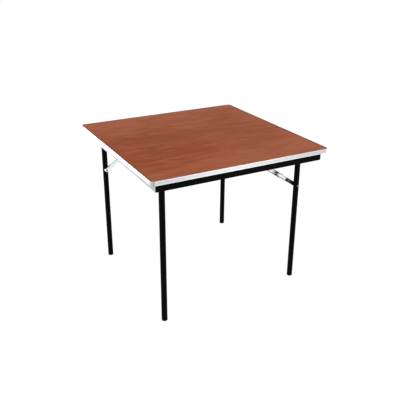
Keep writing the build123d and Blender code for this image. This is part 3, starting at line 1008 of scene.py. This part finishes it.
@dataclass
class Screws:
    """Pan-head screws with a cross recess, one piece for each packed group."""

    groups: tuple[str, ...] = ("apron_screws", "end_rail_screws", "clamp_screws", "bracket_screws")
    head_radius: float = 0.0042
    head_height: float = 0.0026
    head_shares: tuple[Point, ...] = ((1.0, 1.0), (0.45, 1.0), (0.2, 0.93), (0.05, 0.78))
    shank_radius: float = 0.0021
    shank_reach: float = 0.0078
    recess_reach: float = 0.0024
    recess_waist_share: float = 0.36
    recess_floor_share: float = 0.5
    recess_arms: int = 4
    recess_sharpness: int = 3
    recess_depth: float = 0.0016
    segments: int = 24

    def seats(self, node: str) -> list[Vector]:
        """The middle of each screw's lowest face.

        Args:
            node: A packed group of screws.

        Returns:
            One point for each screw.
        """
        points = [vertex.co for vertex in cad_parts[node].data.vertices]
        apart = 3 * self.head_radius
        found: list[Vector] = []
        for point in points:
            if all((seat.xy - point.xy).length >= apart for seat in found):
                found.append(point.copy())
        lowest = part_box(node)[0].z
        seats = []
        for first in found:
            xs, ys = zip(*(point.xy for point in points if (point.xy - first.xy).length < apart))
            seats.append(Vector(((min(xs) + max(xs)) / 2, (min(ys) + max(ys)) / 2, lowest)))
        return seats

    @staticmethod
    def circle(angle: float) -> float:
        """The outline of a round ring, whose reach is the same at every angle."""
        return 1.0

    def cross(self, angle: float) -> float:
        """The outline of a cross recess, whose reach is least between its arms."""
        share = abs(math.cos(angle * self.recess_arms / 2)) ** self.recess_sharpness
        return self.recess_waist_share + (1 - self.recess_waist_share) * share

    def ring(
        self,
        mesh: bmesh.types.BMesh,
        edges: Sequence[bmesh.types.BMEdge],
        middle: Vector,
        radius: float,
        outline: Callable[[float], float],
    ) -> list[bmesh.types.BMEdge]:
        """Grow a loop of edges into the next ring.

        Args:
            mesh: The bmesh.
            edges: The open loop.
            middle: The middle of the new ring.
            radius: The new ring's radius.
            outline: Its reach at an angle, as a share of the radius.

        Returns:
            The new ring's edges.
        """
        grown = bmesh.ops.extrude_edge_only(mesh, edges=edges)["geom"]
        for vertex in (part for part in grown if isinstance(part, bmesh.types.BMVert)):
            angle = math.atan2(vertex.co.y - middle.y, vertex.co.x - middle.x)
            reach = radius * outline(angle)
            vertex.co = middle + Vector((reach * math.cos(angle), reach * math.sin(angle), 0))
        return [part for part in grown if isinstance(part, bmesh.types.BMEdge)]

    def screw(self, mesh: bmesh.types.BMesh, seat: Vector) -> None:
        """Add one screw, head down.

        Args:
            mesh: The bmesh to add to.
            seat: The middle of the head's lowest face.
        """
        end = Matrix.Translation(seat + UP * self.shank_reach)
        first = bmesh.ops.create_circle(mesh, segments=self.segments, radius=self.shank_radius, matrix=end)
        edges = list(dict.fromkeys(edge for vertex in first["verts"] for edge in vertex.link_edges))
        bmesh.ops.edgeloop_fill(mesh, edges=edges)
        recess_floor = self.recess_reach * self.recess_floor_share
        rings = [(self.head_height, self.shank_radius, self.circle)]
        for height, radius in self.head_shares:
            rings.append((self.head_height * height, self.head_radius * radius, self.circle))
        rings += [(0.0, self.recess_reach, self.cross), (self.recess_depth, recess_floor, self.cross)]
        for height, radius, outline in rings:
            edges = self.ring(mesh, edges, seat + UP * height, radius, outline)
        bmesh.ops.edgeloop_fill(mesh, edges=edges)

    def build(self) -> None:
        """Build every group of screws."""
        for group in self.groups:
            mesh = bmesh.new()
            for seat in self.seats(group):
                self.screw(mesh, seat)
            Piece(f"{group}_detailed", "table_top", ZINC, (group,)).show(mesh)


@dataclass
class LegFrame:
    """Two tube legs with their feet, the cross tube and its welds, on one half of the table."""

    half: Half
    leg_wall: float = 0.0015
    foot_round: float = 0.003
    foot_seam: float = 0.0004
    dimple_radius: float = 0.003
    dimple_depth: float = 0.0006
    plug_play: float = 0.0001
    rib_depth: float = 0.0007
    rib_pitch: float = 0.006
    bead_radius: float = 0.0019
    bead_ripple: float = 0.00045
    bead_ripples: int = 22
    bead_crease: float = math.radians(60)
    bead_segments: int = 10
    ripple_steps: int = 6
    tube_steps: int = 64
    dome_steps: int = 12
    round_steps: int = 8
    seam_steps: int = 3

    @property
    def body(self) -> str:
        """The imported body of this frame."""
        return f"leg_frame_{self.half.value}"

    @staticmethod
    def right_box(stem: str, braced: bool) -> tuple[Vector, Vector]:
        """The lowest and highest corner of the right half's node, whose twin is turned into place."""
        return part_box(f"{stem}_{Half.RIGHT.corner(braced)}")

    def leg(self, braced: bool) -> None:
        """Build a leg: a tube with a domed top, whose open lower end stands on the foot's shoulder.

        Args:
            braced: Whether the leg carries the brace.
        """
        low, high = self.right_box("leg", braced)
        outer = (high.x - low.x) / 2
        inner = outer - self.leg_wall
        shoulder = high.z - low.z - outer
        profile = arc((0, shoulder), outer, 90, 0, self.dome_steps)
        profile += [(outer, 0.0), (inner, 0.0)]
        profile += arc((0, shoulder), inner, 0, 90, self.dome_steps)
        mesh = lathe(profile, underside(low, high), UP, self.tube_steps)
        corner = self.half.corner(braced)
        Piece(f"leg_tube_{corner}", self.body, ENAMEL, (f"leg_{corner}",)).show(mesh, self.half.turn)

    def foot(self, braced: bool) -> None:
        """Build a foot: a rounded disc as wide as the leg, with a ribbed plug that stands inside the tube.

        Args:
            braced: Whether the foot is on the braced leg.
        """
        low, high = self.right_box("foot_cap", braced)
        outer = (high.x - low.x) / 2
        plug = outer - self.leg_wall - self.plug_play
        shoulder = self.right_box("leg", braced)[0].z - low.z
        height = high.z - low.z
        profile = [(0.0, self.dimple_depth), (self.dimple_radius, self.dimple_depth)]
        profile += [(self.dimple_radius, 0.0)]
        profile += arc((outer - self.foot_round, self.foot_round), self.foot_round, -90, 0, self.round_steps)
        seam_centre = (outer - self.foot_seam, shoulder - self.foot_seam)
        profile += arc(seam_centre, self.foot_seam, 0, 90, self.seam_steps)
        place = shoulder
        while place < height - self.rib_pitch / 2:
            profile += [
                (plug, place),
                (plug, place + self.rib_pitch / 3),
                (plug - self.rib_depth, place + self.rib_pitch / 2),
                (plug - self.rib_depth, min(place + self.rib_pitch * 5 / 6, height)),
            ]
            place += self.rib_pitch
        profile.append((0.0, height))
        mesh = lathe(profile, underside(low, high), UP, self.tube_steps)
        corner = self.half.corner(braced)
        Piece(f"foot_plug_{corner}", self.body, RUBBER, (f"foot_cap_{corner}",)).show(mesh, self.half.turn)

    def weld(self, braced: bool) -> None:
        """Lay a rippled bead where the cross tube meets a leg.

        Args:
            braced: Whether the leg carries the brace.
        """
        leg_low, leg_high = self.right_box("leg", braced)
        tube_low, tube_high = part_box("cross_tube_right")
        leg_radius = (leg_high.x - leg_low.x) / 2
        tube_radius = (tube_high.z - tube_low.z) / 2
        middle = (tube_low + tube_high) / 2
        middle.y = (leg_low.y + leg_high.y) / 2
        inwards = 1.0 if braced else -1.0
        mesh = bmesh.new()
        lift = Matrix.Translation(middle + UP * tube_radius)
        upright = Matrix.Rotation(math.radians(90), 4, "Y")
        bmesh.ops.create_circle(
            mesh, segments=self.bead_segments, radius=self.bead_radius, matrix=lift @ upright
        )
        bmesh.ops.spin(
            mesh,
            geom=mesh.verts[:] + mesh.edges[:],
            cent=middle,
            axis=BACKWARDS,
            angle=FULL_TURN,
            steps=self.bead_ripples * self.ripple_steps,
            use_merge=True,
        )
        bmesh.ops.remove_doubles(mesh, verts=mesh.verts, dist=WELD_DISTANCE)
        for vertex in mesh.verts:
            spoke = vertex.co - middle
            angle = math.atan2(spoke.z, spoke.x)
            level = Vector((spoke.x, 0, spoke.z))
            swell = 1 + self.bead_ripple / self.bead_radius * math.cos(angle * self.bead_ripples)
            root = level.normalized() * tube_radius
            section = (spoke - root) * swell
            reach = math.sqrt(leg_radius ** 2 - min(abs(root.x), leg_radius) ** 2)
            vertex.co = middle + root + section + BACKWARDS * (inwards * reach)
        name = f"weld_bead_{self.half.corner(braced)}"
        Piece(name, self.body, ENAMEL, crease_angle=self.bead_crease).show(mesh, self.half.turn)

    def build(self) -> None:
        """Build both legs with their feet and welds, and dress the cross tube."""
        for braced in (True, False):
            self.leg(braced)
            self.foot(braced)
            self.weld(braced)
        dress(ENAMEL, f"cross_tube_{self.half.value}")


@dataclass(frozen=True)
class Pin:
    """A bolt, rivet or pin along Y, domed at each end where its head has a height.

    Attributes:
        node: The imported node, without its half.
        name: The new piece's name, without its half.
        body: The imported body, with {half} where the half's name goes.
        shank: The shank's radius.
        front_head: The height of the head at the front.
        back_head: The height of the head at the back.
        finish: The pin's finish.
    """

    node: str
    name: str
    body: str
    shank: float
    front_head: float = 0.0
    back_head: float = 0.0
    finish: Finish = ZINC


PINS = (
    Pin("leg_bolt", "leg_bolt_domed", "leg_frame_{half}", 0.004, 0.0032, 0.0022, DARK_ZINC),
    Pin("knee_rivet", "knee_rivet_domed", "upper_brace_{half}", 0.0035, back_head=0.0026),
    Pin("knee_rivet_head", "knee_rivet_far_head", "lower_brace_{half}", 0.00355, front_head=0.0026),
    Pin("bracket_pin", "bracket_pin_domed", "table_top", 0.003, front_head=0.002, back_head=0.002),
)


@dataclass
class FoldingBrace:
    """The brace of one half: two links, a bolt, rivets, a pin and a bracket, and the pivot clamps."""

    half: Half
    pins: tuple[Pin, ...] = PINS
    head_edge_share: float = 0.25
    dome_steps: int = 8
    round_steps: int = 40

    def pin_end(self, shank: float, head: float, height: float) -> list[Point]:
        """The profile of a pin's end, from the axis out to the shank.

        Args:
            shank: The shank's radius.
            head: The head's radius.
            height: The head's height, or 0 for none.

        Returns:
            Profile points, with their places measured from the end.
        """
        if not height:
            return [(0.0, 0.0), (shank, 0.0)]
        rise = height * (1 - self.head_edge_share)
        angles = [math.radians(90 * step / self.dome_steps) for step in range(self.dome_steps + 1)]
        dome = [(head * math.sin(angle), rise * (1 - math.cos(angle))) for angle in angles]
        return dome + [(head, height), (shank, height)]

    def pin(self, pin: Pin) -> None:
        """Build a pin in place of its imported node.

        Args:
            pin: The pin.
        """
        low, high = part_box(f"{pin.node}_right")
        length = high.y - low.y
        head = (high.x - low.x) / 2
        profile = self.pin_end(pin.shank, head, pin.front_head)
        back = self.pin_end(pin.shank, head, pin.back_head)
        profile += [(radius, length - place) for radius, place in reversed(back)]
        foot = (low + high) / 2
        foot.y = low.y
        mesh = lathe(profile, foot, BACKWARDS, self.round_steps)
        own = self.half.value
        body = pin.body.format(half=own)
        Piece(f"{pin.name}_{own}", body, pin.finish, (f"{pin.node}_{own}",)).show(mesh, self.half.turn)

    def build(self) -> None:
        """Dress the links and build the round parts."""
        own = self.half.value
        dress(UPPER_LINK_ZINC, f"brace_upper_{own}")
        dress(LOWER_LINK_ZINC, f"brace_lower_{own}")
        dress(ZINC, f"brace_bracket_{own}")
        dress(WASHER_NYLON, f"knee_washer_{own}")
        dress(SPACER_NYLON, f"brace_spacer_{own}")
        for braced in (True, False):
            dress(ZINC, f"pivot_clamp_{self.half.corner(braced)}")
            dress(LINER_NYLON, f"pivot_liner_{self.half.corner(braced)}")
        for pin in self.pins:
            self.pin(pin)


@dataclass(frozen=True)
class Lamp:
    """A soft lamp: where it hangs, the point that it faces, its width and height, and its power in watts."""

    name: str
    place: Place
    aim: Place
    width: float
    height: float
    power: float

    def hang(self) -> None:
        """Hang the lamp, unseen by the camera."""
        data = bpy.data.lights.new(self.name, "AREA")
        data.shape = "RECTANGLE"
        data.size = self.width
        data.size_y = self.height
        data.energy = self.power
        lamp = stand(self.name, data)
        lamp.location = self.place
        lamp.rotation_euler = (Vector(self.aim) - Vector(self.place)).to_track_quat("-Z", "Y").to_euler()
        lamp.visible_camera = False


TABLE_MIDDLE = (0.0, 0.0, 0.6)
LAMPS = (
    Lamp("key_left", (-3.2, -0.9, 2.2), TABLE_MIDDLE, 3.4, 2.4, 30.0),
    Lamp("fill_front", (1.0, -3.6, 2.0), TABLE_MIDDLE, 3.4, 2.0, 6.0),
    Lamp("edge_front", (1.12, -2.7, 0.25), (0.0, -0.45, 0.73), 0.5, 0.4, 4.9),
    Lamp("edge_left", (-1.45, 1.8, 0.30), (-0.45, -0.1, 0.73), 2.2, 1.0, 26.0),
    Lamp("edge_right", (2.1, -0.30, 0.25), (0.45, -0.45, 0.73), 1.0, 0.6, 8.0),
)


@dataclass
class Studio:
    """The pale floor, the soft lamps and the camera of the photograph."""

    lamps: tuple[Lamp, ...] = LAMPS
    floor_half_width: float = 7.0
    floor_colour: Colour = (0.72, 0.72, 0.72, 1.0)
    floor_roughness: float = 0.9
    floor_glow: float = 1.15
    glow_share: float = 0.8
    sky: Colour = (1.0, 1.0, 1.0, 1.0)
    world_fill: float = 0.80
    picture_width: float = 400.0
    sensor_width: float = 36.0
    focal_pixels: float = 589.828
    clip_end: float = 100.0
    camera_place: Place = (-1.33787, -2.49274, 1.63695)
    azimuth: float = 28.478
    elevation: float = 23.860
    roll: float = 0.279

    def floor(self) -> None:
        """Lay the floor: white to the camera and in gloss, with the table's shadow, and clear from below."""
        material = bpy.data.materials.new("studio_floor")
        shader = Shader(material)
        straight, seen = shader.sight()
        dull = {"Roughness": self.floor_roughness, "Specular IOR Level": 0.0}
        shader.surface({"Base Color": self.floor_colour, **dull})
        matt = Link(shader, shader.tree.nodes["Principled BSDF"].outputs[0])
        glow = shader.node("ShaderNodeEmission", None, {"Strength": self.floor_glow})
        lit = shader.node("ShaderNodeMixShader", None, {0: seen * self.glow_share, 1: matt, 2: glow})
        under = shader.node("ShaderNodeNewGeometry", output="Backfacing")
        clear = shader.node("ShaderNodeBsdfTransparent")
        one_sided = shader.node("ShaderNodeMixShader", None, {0: under * straight, 1: lit, 2: clear})
        shader.feed(shader.tree.nodes["Material Output"], {"Surface": one_sided})
        mesh = bmesh.new()
        bmesh.ops.create_grid(mesh, x_segments=1, y_segments=1, size=self.floor_half_width)
        solid("studio_floor", mesh, material)

    def world(self) -> None:
        """Surround the table with an even light that the camera and glossy surfaces see as white."""
        world = bpy.data.worlds.new("studio")
        bpy.context.scene.world = world
        shader = Shader(world)
        _, seen = shader.sight()
        light = {"Color": self.sky, "Strength": seen.between(self.world_fill, 1.0)}
        shader.feed(shader.tree.nodes["Background"], light)

    def camera(self) -> None:
        """Stand the camera where the photograph's was."""
        data = bpy.data.cameras.new("camera")
        data.sensor_width = self.sensor_width
        data.lens = self.focal_pixels * self.sensor_width / self.picture_width
        data.clip_end = self.clip_end
        turn = math.radians(self.azimuth)
        rise = math.radians(self.elevation)
        level_reach = math.cos(rise)
        ahead = Vector((math.sin(turn) * level_reach, math.cos(turn) * level_reach, -math.sin(rise)))
        level = ahead.to_track_quat("-Z", "Y")
        camera = stand("camera", data)
        camera.location = self.camera_place
        camera.rotation_euler = (level @ Quaternion(UP, math.radians(self.roll))).to_euler()
        bpy.context.scene.camera = camera

    def build(self) -> None:
        """Set the floor, the light and the camera."""
        bpy.context.scene.view_settings.view_transform = "Standard"
        self.floor()
        self.world()
        for lamp in self.lamps:
            lamp.hang()
        self.camera()


def main() -> None:
    """Build the table's sub-assemblies in order, then the studio round them."""
    logging.basicConfig(level=logging.INFO, format="%(message)s")
    TableTop().build()
    Screws().build()
    for half in Half:
        LegFrame(half).build()
        FoldingBrace(half).build()
    Studio().build()


if __name__ == "__main__":
    main()
